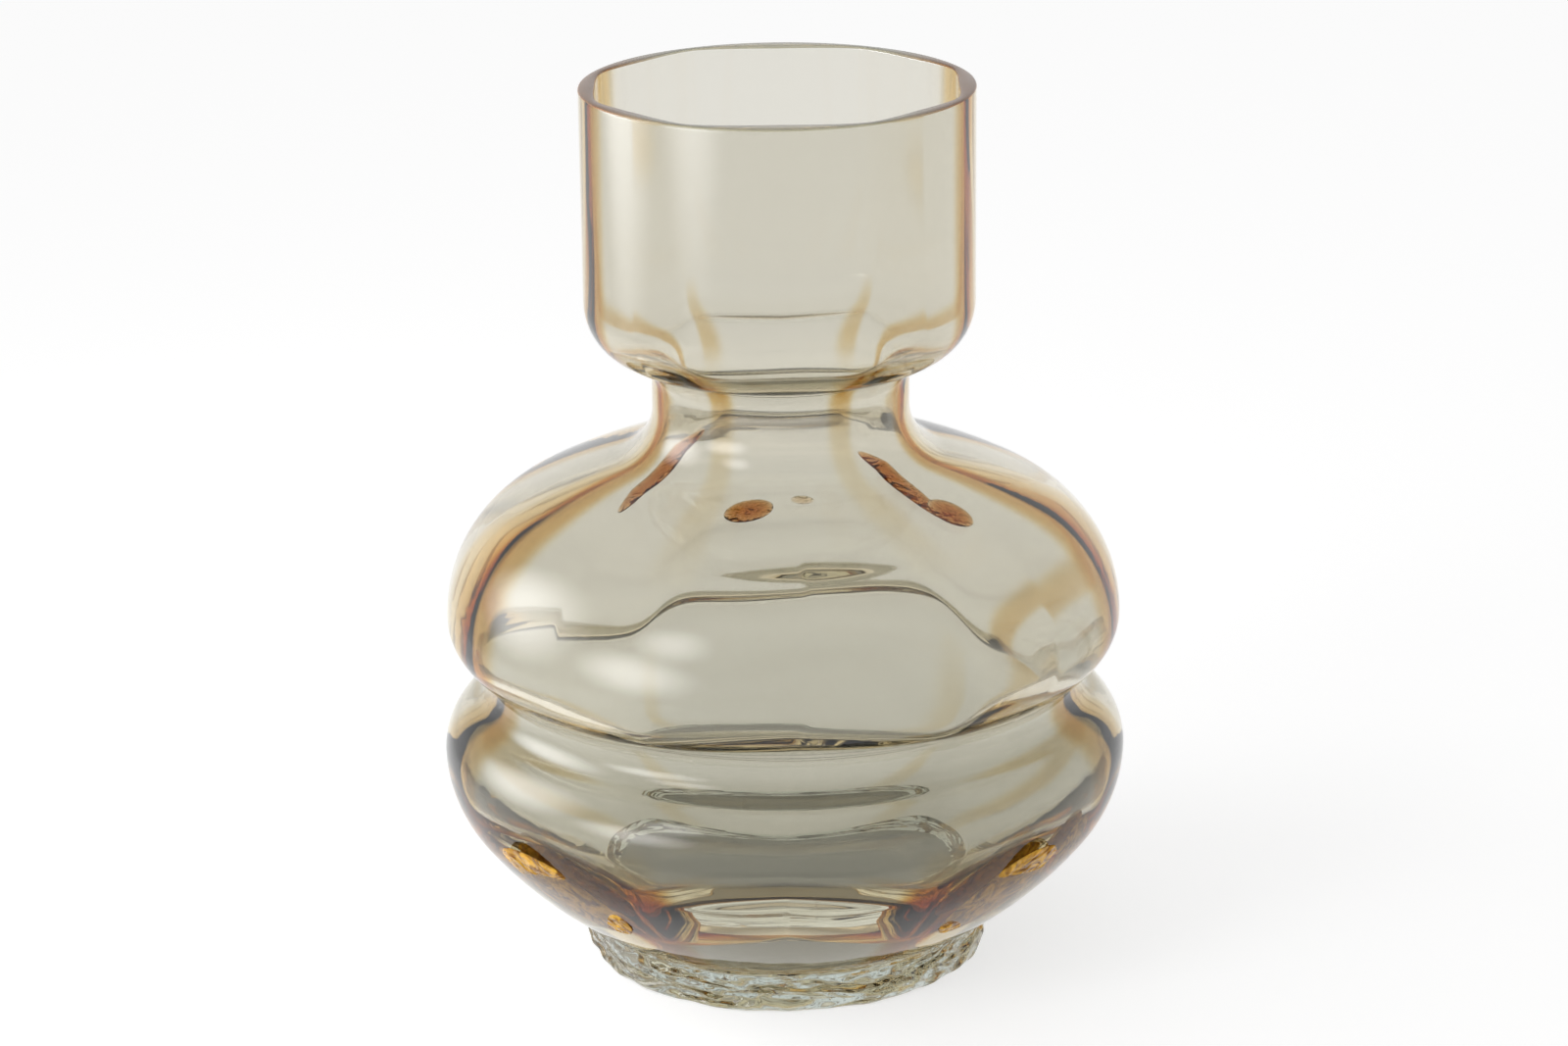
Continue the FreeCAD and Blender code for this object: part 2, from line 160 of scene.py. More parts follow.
# A flat oval bead, in degrees and millimetres: its angle from the front, its level,
# its length, width and thickness, and how far its length leans from level.
Bead = namedtuple("Bead", "angle level length width lean thickness")
# the glass over a bead's middle
BEAD_COVER = 0.5 * MM
DROPS = (
    Bead(-10.5, 116.0, 11.0, 7.5, 30.0, 1.5),
    Bead(7.0, 117.0, 5.0, 3.0, -8.0, 0.3),
    Bead(-62.0, 82.0, 2.4, 2.0, 0.0, 0.5),
)
STREAKS = (
    Bead(46.0, 117.0, 28.0, 5.0, -92.0, 1.4),
    Bead(49.0, 112.5, 11.0, 8.0, -75.0, 1.4),
    Bead(-53.0, 119.0, 28.0, 5.0, 86.0, 1.4),
)
POOLS = (
    Bead(-43.0, 32.0, 34.0, 19.0, -35.0, 1.8),
    Bead(41.0, 32.0, 32.0, 18.0, 50.0, 1.8),
    Bead(57.0, 38.0, 15.0, 9.0, 60.0, 1.2),
)

# The row of air bubbles, in degrees and millimetres, and how far each strays from the row's
# line and from its middle size.
BUBBLE_COUNT = 22
BUBBLE_ANGLE = 5.0
BUBBLE_LOW = 20.0
BUBBLE_HIGH = 54.0
BUBBLE_SIZE = 0.32
BUBBLE_ANGLE_STRAY = 0.25
BUBBLE_SIZE_STRAY_SHARE = 0.4

GLASS_IOR = 1.5
PASS_IOR = 1.0
# against the clear glass around it, not against air
BEAD_IOR = 1.15
AIR_IN_GLASS_IOR = 0.67

# the clear glass is darker from the high level down to the low one: partly its own tint where it
# is thicker, partly painted shade for the shadowed floor seen through it
GRADE_LOW = 30.0 * MM
GRADE_HIGH = 100.0 * MM

WHITE = (1.0, 1.0, 1.0)
FLOOR_DROP = 0.02 * MM
FLOOR_REACH = 4.0
FLOOR_GLOW = 0.65

# The photograph's own view, found by fitting the outline's projection to it.
CAMERA_PLACE = (0.0004155, -0.92324, 0.40776)
CAMERA_DOWN = 0.3222
CAMERA_ROLL = -0.0115
CAMERA_LENS = 99.52
CAMERA_SENSOR = 36.0


# The outline, as tangent arcs


def circles_meet(centre_a, radius_a, centre_b, radius_b, side):
    """The point where two circles cross, to the left (1) or right (-1) of the line a to b."""
    line = centre_b - centre_a
    gap = line.length
    along = (radius_a**2 - radius_b**2 + gap**2) / (2 * gap)
    across = math.sqrt(radius_a**2 - along**2)
    line.normalize()
    return centre_a + line * along + Vector((-line.y, line.x)) * (side * across)


def heading(centre, point):
    return math.atan2(point.y - centre.y, point.x - centre.x)


def arc_centres():
    """Centres of the outline's arcs, in radius and height, from the foot to the collar."""
    s = SIZE
    foot_corner = Vector((s.foot_radius, s.foot_height))
    side = Vector((s.lower_radius - s.lower_side_curve, s.lower_level))
    shoulder = Vector((s.lower_radius - s.lower_shoulder_curve, s.lower_level))
    hip = Vector((s.upper_radius - s.upper_hip_curve, s.upper_level))
    upper_side = Vector((s.upper_radius - s.upper_side_curve, s.upper_level))
    neck = Vector((s.waist_radius + s.neck_curve, s.waist_low_level))
    under = Vector((s.waist_radius + s.collar_under_curve, s.waist_high_level))
    corner_x = s.collar_radius - s.collar_corner_curve
    corner_reach = s.collar_under_curve + s.collar_corner_curve
    corner_rise = math.sqrt(corner_reach**2 - (corner_x - under.x) ** 2)
    base_to_side = s.lower_base_curve - s.lower_side_curve
    shoulder_to_crease = s.lower_shoulder_curve + s.crease_curve
    hip_to_crease = s.upper_hip_curve + s.crease_curve
    neck_to_crown = s.neck_curve + s.upper_crown_curve
    side_to_crown = s.upper_crown_curve - s.upper_side_curve
    return SimpleNamespace(
        base=circles_meet(foot_corner, s.lower_base_curve, side, base_to_side, 1),
        side=side,
        shoulder=shoulder,
        crease=circles_meet(shoulder, shoulder_to_crease, hip, hip_to_crease, -1),
        hip=hip,
        upper_side=upper_side,
        crown=circles_meet(neck, neck_to_crown, upper_side, side_to_crown, -1),
        neck=neck,
        under=under,
        corner=Vector((corner_x, under.y + corner_rise)),
    )


def outline_arcs():
    """The outline from the foot up: centre, radius, start and end angle, hollow or not."""
    s = SIZE
    at = arc_centres()
    foot_corner = Vector((s.foot_radius, s.foot_height))
    turn = 2 * math.pi
    base_end = heading(at.base, at.side)
    crown_start = heading(at.crown, at.upper_side)
    return [
        (at.base, s.lower_base_curve, heading(at.base, foot_corner), base_end, False),
        (at.side, s.lower_side_curve, base_end, 0.0, False),
        (at.shoulder, s.lower_shoulder_curve, 0.0, heading(at.shoulder, at.crease), False),
        (
            at.crease,
            s.crease_curve,
            heading(at.crease, at.shoulder) % turn,
            heading(at.crease, at.hip) % turn,
            True,
        ),
        (at.hip, s.upper_hip_curve, heading(at.hip, at.crease), 0.0, False),
        (at.upper_side, s.upper_side_curve, 0.0, crown_start, False),
        (at.crown, s.upper_crown_curve, crown_start, heading(at.crown, at.neck), False),
        (at.neck, s.neck_curve, heading(at.neck, at.crown) % turn, math.pi, True),
        (at.under, s.collar_under_curve, math.pi, heading(at.under, at.corner), True),
        (at.corner, s.collar_corner_curve, heading(at.corner, at.under), 0.0, False),
    ]


@cache
def outline():
    """Places up the outline, in radius and height, and their outward normals."""
    places, normals = [], []
    for centre, radius, start, end, hollow in outline_arcs():
        count = max(3, math.ceil(radius * abs(end - start) / ROW_SPACING))
        for angle in np.linspace(start, end, count + 1):
            away = np.array([math.cos(angle), math.sin(angle)])
            place = np.array(centre) + radius * away
            if places and np.hypot(*(place - places[-1])) < ROW_SPACING / 10:
                continue
            if places and np.hypot(*(place - places[-1])) > 2 * ROW_SPACING:
                add_straight(places, normals, place)
            places.append(place)
            normals.append(-away if hollow else away)
    add_straight(places, normals, np.array([SIZE.collar_radius, SIZE.vase_height]))
    places.append(np.array([SIZE.collar_radius, SIZE.vase_height]))
    normals.append(np.array([1.0, 0.0]))
    return np.array(places), np.array(normals)


def add_straight(places, normals, end):
    """Adds places up to, but not at, the end of an upright stretch."""
    start = places[-1]
    count = math.ceil(np.hypot(*(end - start)) / ROW_SPACING)
    for share in np.arange(1, count) / count:
        places.append(start + (end - start) * share)
        normals.append(np.array([1.0, 0.0]))


# The optic panels of the inside


def eased(share):
    bounded = np.clip(share, 0.0, 1.0)
    return bounded * bounded * (3 - 2 * bounded)


def between(start, end, share):
    return start + (end - start) * eased(share)


def wall_thickness(level):
    """Glass thickness at the ribs, at heights on the outline."""
    s = SIZE
    low = (level - s.foot_height) / (s.lower_level - s.foot_height)
    middle = (level - s.upper_level) / (s.waist_low_level - s.upper_level)
    high = (level - s.waist_high_level) / s.collar_corner_curve
    wall = between(s.body_wall, s.waist_wall, middle)
    wall = np.where(level < s.lower_level, between(s.base_wall, s.body_wall, low), wall)
    in_collar = level > s.waist_high_level
    return np.where(in_collar, between(s.waist_wall, s.collar_wall, high), wall)


def panel_flatness(level):
    """How flat the panels are, at heights on the outline."""
    s = SIZE
    low = (level - s.foot_height) / (s.lower_level - s.foot_height)
    crossing = (level - s.lower_level) / (s.upper_level - s.lower_level)
    middle = (level - s.upper_level) / (s.waist_low_level - s.upper_level)
    up_cup = (level - s.waist_high_level) / (s.vase_height - s.waist_high_level)
    in_base = between(s.floor_flat_share, s.lower_flat_share, low)
    over_crease = between(s.lower_flat_share, s.upper_flat_share, crossing)
    in_collar = between(s.waist_flat_share, s.collar_flat_share, up_cup)
    flatness = between(s.upper_flat_share, s.waist_flat_share, middle)
    flatness = np.where(level < s.upper_level, over_crease, flatness)
    flatness = np.where(level < s.lower_level, in_base, flatness)
    return np.where(level > s.waist_high_level, in_collar, flatness)


def panel_turn(level):
    """How far the panels are turned at a height: only in the upper swell, and smoothly."""
    s = SIZE
    crease_level = (s.lower_level + s.upper_level) / 2
    full_level = (s.upper_level + s.waist_low_level) / 2
    turn_in = eased((level - crease_level) / (s.upper_level - crease_level))
    turn_out = eased((level - full_level) / (s.waist_low_level - full_level))
    return s.upper_panel_turn * (turn_in - turn_out)


def narrow_panel_angle():
    return (2 * math.pi - 2 * SIZE.wide_panel_angle) / (PANEL_COUNT - 2)


def across_panels(angles):
    """For angles about the axis: the nearest panel's full depth, and the way in from its rib.

    The depth is that of a flat panel, as a share of the ribs' radius. The way in goes from 0
    at the rib to 1 at the panel's middle.
    """
    wide = SIZE.wide_panel_angle
    depth = np.zeros_like(angles)
    way_in = np.zeros_like(angles)
    start = -math.pi / 2 - wide / 2
    for index in range(PANEL_COUNT):
        width = wide if index % (PANEL_COUNT // 2) == 0 else narrow_panel_angle()
        along = (angles - start) % (2 * math.pi)
        on_panel = along < width
        depth = np.where(on_panel, 1 - math.cos(width / 2), depth)
        way_in = np.where(on_panel, 1 - np.abs(2 * along / width - 1), way_in)
        start += width
    return depth, way_in


def rib_angles():
    """Each rib's angle about the axis, and which pair it belongs to."""
    front = -math.pi / 2
    ribs = []
    for pair in (FRONT, FRONT_SIDE, BACK_SIDE, BACK):
        away = SIZE.wide_panel_angle / 2 + narrow_panel_angle() * pair
        ribs += [(front - away, pair), (front + away, pair)]
    return ribs


def amber_thickness(levels, turns):
    """How thick the amber is at each place up the vase and at each angle about the axis."""
    s = SIZE
    place_levels = (
        s.floor_level,
        s.lower_level,
        (s.lower_level + s.upper_level) / 2,
        s.upper_level,
        (s.upper_level + s.waist_low_level) / 2,
        s.waist_low_level,
        s.waist_high_level + s.collar_under_curve / 2,
        s.waist_high_level + s.collar_corner_curve,
        s.vase_height,
    )
    share = np.full((len(levels), AROUND), AMBER_PANEL_SHARE)
    for angle, pair in rib_angles():
        strength = np.interp(levels, place_levels, AMBER_SHARES[pair])
        away = (ANGLES[None, :] - turns[:, None] - angle + math.pi) % (2 * math.pi) - math.pi
        share += strength[:, None] * np.exp(-((away / AMBER_RIB_WIDTH) ** 4))
    return s.lining_rib_thickness * np.minimum(share, 1.0)


# The skins, as rows of rings


def turned(radii, levels):
    """Points about the axis for a grid of radii and levels."""
    return np.stack([radii * np.cos(ANGLES), radii * np.sin(ANGLES), levels], axis=-1)


def waves(kinds, levels, height):
    """The sum of some waves, from 0 to 1, for rows at these levels of a height."""
    up = (levels / height)[:, None] * 2 * math.pi
    total = sum(
        wave.size * np.sin(wave.around * ANGLES[None, :] + wave.up * up + wave.start)
        for wave in kinds
    )
    return total / (2 * sum(wave.size for wave in kinds)) + 0.5


def outer_skin():
    places, normals = outline()
    places = places - normals * SKIN_INSET
    ones = np.ones(AROUND)
    return turned(places[:, :1] * ones, places[:, 1:] * ones)


def inner_skin(amber_share):
    """The inside of the glass from the floor up, moved out by this share of the amber."""
    s = SIZE
    places, normals = outline()
    outline_levels = places[:, 1]
    turns = panel_turn(outline_levels)
    flatness = panel_flatness(outline_levels)[:, None]
    full_depth, way_in = across_panels(ANGLES[None, :] - turns[:, None])
    softened = np.sqrt(way_in**2 + RIB_SOFTNESS**2) - RIB_SOFTNESS
    crowned = softened * (2 - softened)
    inset = amber_thickness(outline_levels, turns) * amber_share
    if amber_share == 0:
        inset = inset - FUSED_GAP
    rib = places - normals * wall_thickness(outline_levels)[:, None]
    bare_depth = rib[:, :1] * full_depth * flatness * crowned
    bare_depth = bare_depth + RIPPLE_DEPTH * waves(RIPPLES, outline_levels, s.vase_height)
    depth = bare_depth - inset
    radii = rib[:, :1] - normals[:, :1] * depth
    levels = rib[:, 1:] - normals[:, 1:] * depth
    # the same rows for any share of the amber, so that one skin never crosses another
    bare_levels = rib[:, 1:] - normals[:, 1:] * bare_depth
    above_corner = bare_levels.min(axis=1) > s.floor_level + FLOOR_ROUNDING
    edge = s.floor_rib_radius * (1 - s.floor_flat_share * full_depth[0] * crowned[0]) + inset[0]
    floor_radii = np.linspace(CENTRE_SHARE, 1.0, FLOOR_ROWS)[:, None] * (edge - FLOOR_ROUNDING)
    floor_levels = np.full_like(floor_radii, s.floor_level - inset.min())
    radii, levels = radii[above_corner], levels[above_corner]
    corner_radii = rounded_corner(floor_radii[-1], edge, radii[0])
    corner_levels = rounded_corner(floor_levels[-1], floor_levels[-1], levels[0])
    return turned(
        np.vstack([floor_radii, corner_radii, radii]),
        np.vstack([floor_levels, corner_levels, levels]),
    )


def rounded_corner(start, corner, end):
    """Rows of a smooth curve that leaves the start towards the corner and comes in to the end."""
    share = np.linspace(0.0, 1.0, CORNER_ROWS + 2)[1:-1, None]
    return (1 - share) ** 2 * start + 2 * share * (1 - share) * corner + share**2 * end


def ring_to_centre(ring):
    """Rows from a ring in to the axis, on the ring's own level."""
    shares = np.linspace(1.0, CENTRE_SHARE, FUSED_ROWS)[1:, None, None]
    centre = np.array([0.0, 0.0, ring[:, 2].mean()])
    return centre + (ring - centre)[None] * shares


def rim_rows(outer_ring, inner_ring):
    """The flat ground rim between two rings, with its two edges a little softened."""
    top = SIZE.vase_height
    step = RIM_BEVEL * RIM_BEVEL_SHARE
    inward = inner_ring[:, :2] - outer_ring[:, :2]
    unit = inward / np.linalg.norm(inward, axis=1, keepdims=True)
    rings = [
        (outer_ring[:, :2], top - RIM_BEVEL),
        (outer_ring[:, :2] + unit * step, top - step),
        (outer_ring[:, :2] + unit * RIM_BEVEL, top),
        (inner_ring[:, :2] - unit * RIM_BEVEL, top),
        (inner_ring[:, :2] - unit * step, top - step),
        (inner_ring[:, :2], top - RIM_BEVEL),
    ]
    return np.stack([np.column_stack([flat, np.full(AROUND, level)]) for flat, level in rings])


# Meshes


def new_piece(name, points, faces):
    mesh = bpy.data.meshes.new(name)
    mesh.from_pydata(points.tolist(), [], faces)
    mesh.shade_smooth()
    piece = bpy.data.objects.new(name, mesh)
    bpy.context.scene.collection.objects.link(piece)
    return piece


def grid_mesh(name, rows, marks=None):
    """A closed mesh from rows of rings; the first and last rows are closed by a point.

    The marks give each row's material slot.
    """
    count = len(rows)
    points = np.vstack([rows.reshape(-1, 3), rows[0].mean(axis=0), rows[-1].mean(axis=0)])
    index = np.arange(count * AROUND).reshape(count, AROUND)
    across = np.roll(index, -1, axis=1)
    quads = np.stack([index[:-1], across[:-1], across[1:], index[1:]], axis=-1).reshape(-1, 4)
    start_fan = [(count * AROUND, int(b), int(a)) for a, b in zip(index[0], across[0])]
    end_fan = [(count * AROUND + 1, int(a), int(b)) for a, b in zip(index[-1], across[-1])]
    piece = new_piece(name, points, quads.tolist() + start_fan + end_fan)
    if marks is not None:
        per_quad = np.repeat(marks[:-1], AROUND)
        slots = np.concatenate([per_quad, np.full(AROUND, marks[0]), np.full(AROUND, marks[-1])])
        piece.data.polygons.foreach_set("material_index", slots.astype(np.int32))
    piece.data.update()
    return piece


def build_casing():
    """The clear glass between its two air faces, in slots: skin, fused base and cut rim."""
    outer = outer_skin()
    inner = inner_skin(0.0)[::-1]
    base = ring_to_centre(outer[0])[::-1]
    base[..., 2] += FUSED_GAP
    outer = outer[:-1]
    inner = inner[1:]
    rim = rim_rows(outer[-1], inner[0])
    rows = np.concatenate([base, outer, rim, inner])
    marks = np.zeros(len(rows), int)
    marks[: len(base)] = 1
    rim_start = len(base) + len(outer)
    marks[rim_start : rim_start + len(rim) - 1] = 2
    return grid_mesh("clear_casing_glass", rows, marks)


def build_lining():
    outer = inner_skin(1.0)
    inner = inner_skin(LINING_COVER_SHARE)[::-1]
    outer[-1, :, 2] -= LINING_RIM_GAP
    inner[0, :, 2] -= LINING_RIM_GAP
    return grid_mesh("amber_lining_glass", np.concatenate([outer, inner]))


def foot_profile():
    """The foot's underside, edge and side, in radius and height, from the axis out and up."""
    s = SIZE
    hollow_radius = s.foot_radius - s.foot_edge - s.foot_ring_width
    edge_radius = s.foot_radius - s.foot_edge
    profile = []
    for share in np.linspace(CENTRE_SHARE, 1.0, UNDERSIDE_ROWS):
        profile.append((hollow_radius * share, s.foot_hollow_depth * (1 - share**2)))
    profile.append((edge_radius, 0.0))
    for angle in np.linspace(-math.pi / 2, 0.0, FOOT_EDGE_ROWS + 1)[1:]:
        out = s.foot_edge * math.cos(angle)
        up = s.foot_edge * math.sin(angle)
        profile.append((edge_radius + out, s.foot_edge + up))
    for share in np.linspace(0.0, 1.0, FOOT_SIDE_ROWS + 1)[1:]:
        profile.append((s.foot_radius, s.foot_edge + (s.foot_height - s.foot_edge) * share))
    return np.array(profile), hollow_radius


def build_foot():
    """The foot with its uneven folds, in slots: side, fused top and underside."""
    s = SIZE
    profile, hollow_radius = foot_profile()
    radii, levels = profile[:, 0], profile[:, 1]
    ones = np.ones(AROUND)
    side = turned(radii[:, None] * ones, levels[:, None] * ones)
    near_wall = eased((radii - hollow_radius) / (s.foot_radius - hollow_radius))
    calm_height = s.foot_height * FOOT_CALM_SHARE
    uncalmed = 1 - eased((levels - (s.foot_height - calm_height)) / calm_height)
    dent = FOOT_DENT * waves(FOOT_FOLDS, levels, s.foot_height) * (near_wall * uncalmed)[:, None]
    side[..., :2] *= 1 - (dent / s.foot_radius)[..., None]
    rows = np.concatenate([side, ring_to_centre(side[-1])])
    marks = np.zeros(len(rows), int)
    marks[len(side) - 1 :] = 1
    marks[:UNDERSIDE_ROWS] = 2
    return grid_mesh("clear_foot_glass", rows, marks)


# Beads of amber and air near the skin. A bead is flat and the glass is round, so the ends of
# the two big pools stick out of it, by up to 2 mm, and the two long streaks reach the hollow.


def surface_frame(angle, level):
    """A point on the outline at an angle from the front, and the skin's normal, across and up."""
    places, normals = outline()
    row = int(np.argmin(np.abs(places[:, 1] - level)))
    turn = angle - math.pi / 2
    outward = np.array([math.cos(turn), math.sin(turn)])
    point = np.array([*(places[row, 0] * outward), places[row, 1]])
    normal = np.array([*(normals[row, 0] * outward), normals[row, 1]])
    across = np.array([-outward[1], outward[0], 0.0])
    return point, normal, across, np.cross(normal, across)


def bead_mesh(bead):
    """A bead's points and faces."""
    point, normal, across, upward = surface_frame(math.radians(bead.angle), bead.level * MM)
    thickness = bead.thickness * MM
    lean = math.radians(bead.lean)
    centre = point - normal * (BEAD_COVER + thickness / 2)
    long_way = across * math.cos(lean) + upward * math.sin(lean)
    short_way = np.cross(normal, long_way)
    rings = np.linspace(0, math.pi, BEAD_RINGS + 2)[1:-1, None]
    around = np.arange(BEAD_SIDES) * (2 * math.pi / BEAD_SIDES)
    tall = np.cos(rings) * np.ones(BEAD_SIDES)
    wide = np.sin(rings) * np.cos(around)
    deep = np.sin(rings) * np.sin(around)
    half_length = long_way * bead.length * MM / 2
    half_width = short_way * bead.width * MM / 2
    grid = centre + tall[..., None] * half_length + wide[..., None] * half_width
    grid = grid + deep[..., None] * normal * thickness / 2
    index = np.arange(BEAD_RINGS * BEAD_SIDES).reshape(BEAD_RINGS, BEAD_SIDES)
    beside = np.roll(index, -1, axis=1)
    quads = np.stack([index[:-1], index[1:], beside[1:], beside[:-1]], axis=-1).reshape(-1, 4)
    top, bottom = index.size, index.size + 1
    faces = quads.tolist()
    faces += [(top, int(a), int(b)) for a, b in zip(index[0], beside[0])]
    faces += [(bottom, int(b), int(a)) for a, b in zip(index[-1], beside[-1])]
    return np.vstack([grid.reshape(-1, 3), centre + half_length, centre - half_length]), faces


def bead_piece(name, beads):
    """One piece of many beads."""
    points, faces, count = [], [], 0
    for bead in beads:
        bead_points, bead_faces = bead_mesh(bead)
        points.append(bead_points)
        faces += [[corner + count for corner in face] for face in bead_faces]
        count += len(bead_points)
    return new_piece(name, np.vstack(points), faces)


def bubble_row():
    """A fine upright row of air bubbles in the front of the lower swell."""
    bubbles = []
    for index in range(BUBBLE_COUNT):
        share = index / (BUBBLE_COUNT - 1)
        level = BUBBLE_LOW + (BUBBLE_HIGH - BUBBLE_LOW) * share
        angle = BUBBLE_ANGLE + BUBBLE_ANGLE_STRAY * math.sin(7 * index)
        size = BUBBLE_SIZE * (1 + BUBBLE_SIZE_STRAY_SHARE * math.sin(3 * index))
        bubbles.append(Bead(angle, level, size, size, 0.0, size))
    return bubbles


# Materials


def tree(material):
    return material.node_tree.nodes, material.node_tree.links


def glass(name, ior, colour=WHITE):
    material = bpy.data.materials.new(name)
    material.use_nodes = True
    shader = material.node_tree.nodes["Principled BSDF"]
    shader.inputs["Base Color"].default_value = (*colour, 1.0)
    shader.inputs["Roughness"].default_value = 0.0
    shader.inputs["IOR"].default_value = ior
    shader.inputs["Transmission Weight"].default_value = 1.0
    return material


def clouded(material, transmission, roughness):
    """Makes a glass pass only a share of the light, and scatter it a little."""
    shader = material.node_tree.nodes["Principled BSDF"]
    shader.inputs["Transmission Weight"].default_value = transmission
    shader.inputs["Roughness"].default_value = roughness


def tinted(material, colour, density):
    """Takes up light inside the glass, by this much per metre."""
    nodes, links = tree(material)
    volume = nodes.new("ShaderNodeVolumeAbsorption")
    volume.inputs["Color"].default_value = (*colour, 1.0)
    volume.inputs["Density"].default_value = density
    links.new(volume.outputs["Volume"], nodes["Material Output"].inputs["Volume"])


def noise(material, scale, detail, distortion, stretch=(1.0, 1.0, 1.0)):
    """A smooth noise of this scale per metre."""
    nodes, links = tree(material)
    place = nodes.new("ShaderNodeTexCoord")
    mapping = nodes.new("ShaderNodeMapping")
    mapping.inputs["Scale"].default_value = stretch
    texture = nodes.new("ShaderNodeTexNoise")
    texture.inputs["Scale"].default_value = scale
    texture.inputs["Detail"].default_value = detail
    texture.inputs["Distortion"].default_value = distortion
    links.new(place.outputs["Object"], mapping.inputs["Vector"])
    links.new(mapping.outputs["Vector"], texture.inputs["Vector"])
    return texture.outputs["Fac"]


def wavy(material, scale, distance, stretch=(1.0, 1.0, 1.0)):
    """Bends the surface a little with a noise."""
    nodes, links = tree(material)
    bump = nodes.new("ShaderNodeBump")
    bump.inputs["Distance"].default_value = distance
    links.new(noise(material, scale, 2.0, 0.6, stretch), bump.inputs["Height"])
    links.new(bump.outputs["Normal"], nodes["Principled BSDF"].inputs["Normal"])


def place_along(material, axis):
    """The place along an axis of the model, in metres."""
    nodes, links = tree(material)
    place = nodes.new("ShaderNodeTexCoord")
    split = nodes.new("ShaderNodeSeparateXYZ")
    links.new(place.outputs["Object"], split.inputs["Vector"])
    return split.outputs[axis]


def share_of_way(material, value, start, end):
    """How far a value is on its way from start to end, from 0 to 1."""
    nodes, links = tree(material)
    reach = nodes.new("ShaderNodeMapRange")
    reach.inputs["From Min"].default_value = start
    reach.inputs["From Max"].default_value = end
    links.new(value, reach.inputs["Value"])
    return reach.outputs["Result"]


def coloured(material, share, start, start_colour, end, end_colour):
    """Blends the base colour from one to the other, as the share goes from start to end."""
    nodes, links = tree(material)
    ramp = nodes.new("ShaderNodeValToRGB")
    first, last = ramp.color_ramp.elements
    first.position = start
    first.color = (*start_colour, 1.0)
    last.position = end
    last.color = (*end_colour, 1.0)
    links.new(share, ramp.inputs["Fac"])
    links.new(ramp.outputs["Color"], nodes["Principled BSDF"].inputs["Base Color"])


def clear_glass():
    """The clear gather, a little darker below, partly its own tint and partly painted shade."""
    material = glass("clear_glass", GLASS_IOR)
    share = share_of_way(material, place_along(material, "Z"), GRADE_LOW, GRADE_HIGH)
    coloured(material, share, 0.0, (0.62, 0.63, 0.595), 1.0, (0.795, 0.80, 0.78))
    wavy(material, 18.0, 0.12 * MM)
    return material


def rim_glass():
    """The cut rim, brown at the sides, where the amber is seen end on, and olive elsewhere."""
    material = glass("cut_rim_glass", GLASS_IOR)
    clouded(material, 0.45, 0.22)
    nodes, links = tree(material)
    sideways = nodes.new("ShaderNodeMath")
    sideways.operation = "ABSOLUTE"
    links.new(place_along(material, "X"), sideways.inputs[0])
    share = share_of_way(material, sideways.outputs[0], 0.0, SIZE.collar_radius)
    coloured(material, share, 0.55, (0.46, 0.44, 0.32), 0.85, (0.34, 0.17, 0.08))
    return material


def foot_glass():
    """The side of the foot, with fine folds."""
    material = glass("foot_glass", GLASS_IOR, (0.52, 0.58, 0.54))
    wavy(material, 60.0, 9.0 * MM, (1.0, 1.0, 3.0))
    return material


def underside_painted_shade_glass():
    """The foot's underside, darkened with painted shade: the shadowed ground under the vase, seen
    through the thick base.
    """
    material = glass("underside_painted_shade_glass", GLASS_IOR, (0.12, 0.125, 0.105))
    wavy(material, 30.0, 0.5 * MM)
    return material


def amber_glass():
    """The amber lining, which only tints, because it is fused to the clear glass."""
    material = glass("amber_glass", PASS_IOR)
    tinted(material, (0.87, 0.65, 0.15), 1600.0)
    return material


def bead_glass():
    """The denser amber of the drops and streaks."""
    material = glass("bead_amber_glass", BEAD_IOR)
    tinted(material, (0.81, 0.50, 0.05), 2000.0)
    wavy(material, 220.0, 3.0 * MM)
    return material


def pool_glass():
    """Thick folded amber, which passes some light and scatters some, in gold and brown."""
    material = glass("pool_amber", BEAD_IOR)
    clouded(material, 0.45, 0.15)
    streaks = noise(material, 170.0, 3.0, 2.5)
    coloured(material, streaks, 0.36, (0.26, 0.11, 0.02), 0.62, (0.98, 0.56, 0.08))
    wavy(material, 220.0, 3.0 * MM)
    return material


# The vase


fused = glass("fused_glass", PASS_IOR)

casing = build_casing()
casing.data.materials.append(clear_glass())
casing.data.materials.append(fused)
casing.data.materials.append(rim_glass())
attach(casing, "root")
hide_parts("clear_casing")

lining = build_lining()
lining.data.materials.append(amber_glass())
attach(lining, "root")
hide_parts("amber_lining")

beads = bead_piece("amber_beads", DROPS + STREAKS)
beads.data.materials.append(bead_glass())
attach(beads, "root")

pools = bead_piece("amber_pools", POOLS)
pools.data.materials.append(pool_glass())
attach(pools, "root")

bubbles = bead_piece("air_bubbles", bubble_row())
bubbles.data.materials.append(glass("air_in_glass", AIR_IN_GLASS_IOR))
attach(bubbles, "root")

foot = build_foot()
foot.data.materials.append(foot_glass())
foot.data.materials.append(fused)
foot.data.materials.append(underside_painted_shade_glass())
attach(foot, "root")
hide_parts("clear_foot")


# The floor, the light and the camera


def floor_white():
    """A pale floor that takes the vase's shadow."""
    material = bpy.data.materials.new("floor_white")
    material.use_nodes = True
    nodes, links = tree(material)
    nodes.remove(nodes["Principled BSDF"])
    diffuse = nodes.new("ShaderNodeBsdfDiffuse")
    diffuse.inputs["Color"].default_value = (0.5, 0.5, 0.5, 1.0)
    glow = nodes.new("ShaderNodeEmission")
    glow.inputs["Strength"].default_value = FLOOR_GLOW
    both = nodes.new("ShaderNodeAddShader")
    links.new(diffuse.outputs["BSDF"], both.inputs[0])
    links.new(glow.outputs["Emission"], both.inputs[1])
    links.new(both.outputs["Shader"], nodes["Material Output"].inputs["Surface"])
    return material


